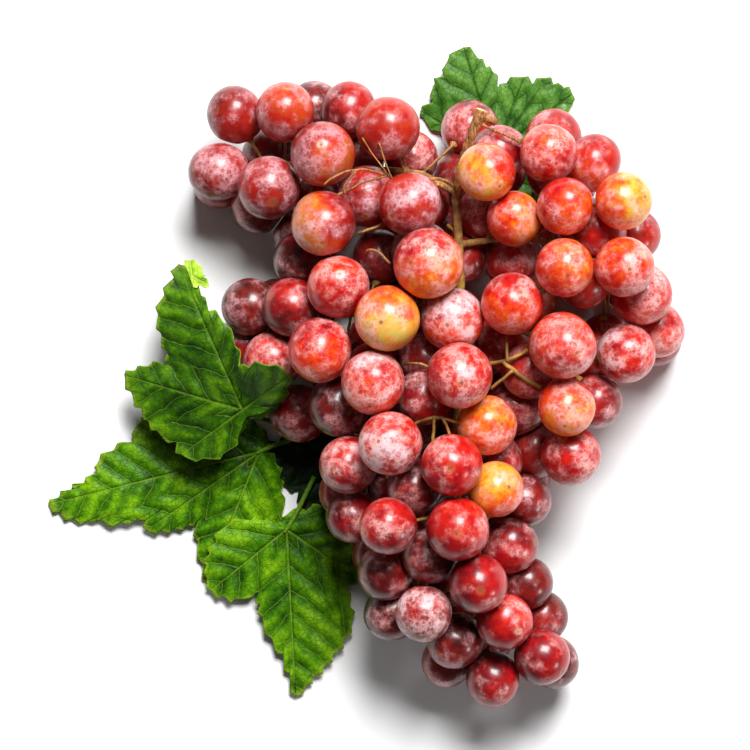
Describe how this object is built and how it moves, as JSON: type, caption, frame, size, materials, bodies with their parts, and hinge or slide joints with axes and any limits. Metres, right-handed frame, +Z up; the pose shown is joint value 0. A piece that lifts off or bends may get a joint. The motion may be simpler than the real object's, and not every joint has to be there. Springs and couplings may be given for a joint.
{
  "type": "bunch of grapes",
  "caption": "Bunch of red table grapes lying on its side, with a woody cut stem, round berries on short stalks and lobed vine leaves tucked under it.",
  "frame": {"origin": "under the middle of the whole, on the surface that the bunch lies on", "axes": "+Z up out of the surface, +Y along the bunch from its tail to its cut stem, +X to the right as the bunch is seen from above with its cut stem away from the viewer"},
  "size_m": [0.2532, 0.2628, 0.0877],
  "materials": {
    "skin_red": "gloss",
    "skin_dark": "satin",
    "leaf_blade": "satin",
    "woody_stem": "matte"
  },
  "bodies": {
    "root": {"stem": "woody_stem", "berry_wing_01": "skin_dark", "berry_wing_02": "skin_dark", "berry_wing_03": "skin_dark", "berry_wing_04": "skin_dark", "berry_wing_05": "skin_dark", "berry_wing_06": "skin_dark", "berry_wing_07": "skin_dark", "berry_wing_08": "skin_dark", "berry_wing_09": "skin_dark", "berry_front_01": "skin_red", "berry_front_02": "skin_red", "berry_front_03": "skin_red", "berry_front_04": "skin_red", "berry_front_05": "skin_red", "berry_front_06": "skin_red", "berry_front_07": "skin_red", "berry_front_08": "skin_red", "berry_front_09": "skin_red", "berry_front_10": "skin_red", "berry_front_11": "skin_red", "berry_front_12": "skin_red", "berry_front_13": "skin_red", "berry_shoulder_01": "skin_red", "berry_shoulder_02": "skin_red", "berry_shoulder_03": "skin_red", "berry_shoulder_04": "skin_red", "berry_shoulder_05": "skin_red", "berry_shoulder_06": "skin_red", "berry_shoulder_07": "skin_red", "berry_shoulder_08": "skin_red", "berry_shoulder_09": "skin_red", "berry_shoulder_10": "skin_red", "berry_shoulder_11": "skin_red", "berry_shoulder_12": "skin_red", "berry_shoulder_13": "skin_red", "berry_tail_01": "skin_dark", "berry_tail_02": "skin_dark", "berry_tail_03": "skin_dark", "berry_tail_04": "skin_dark", "berry_tail_05": "skin_dark", "berry_tail_06": "skin_dark", "berry_tail_07": "skin_dark", "berries_inner_01": "skin_dark", "berries_inner_02": "skin_dark", "berries_inner_03": "skin_dark", "berries_inner_04": "skin_dark", "berries_inner_05": "skin_dark", "berries_inner_06": "skin_dark", "berries_inner_07": "skin_dark", "berries_inner_08": "skin_dark", "berries_inner_09": "skin_dark", "berries_inner_10": "skin_dark", "berries_inner_11": "skin_dark", "berries_inner_12": "skin_dark", "leaf_underneath": "leaf_blade", "leaf_lower_left": "leaf_blade", "leaf_bottom": "leaf_blade", "leaf_upper_left": "leaf_blade", "leaf_top_right": "leaf_blade"}
  },
  "joints": []
}
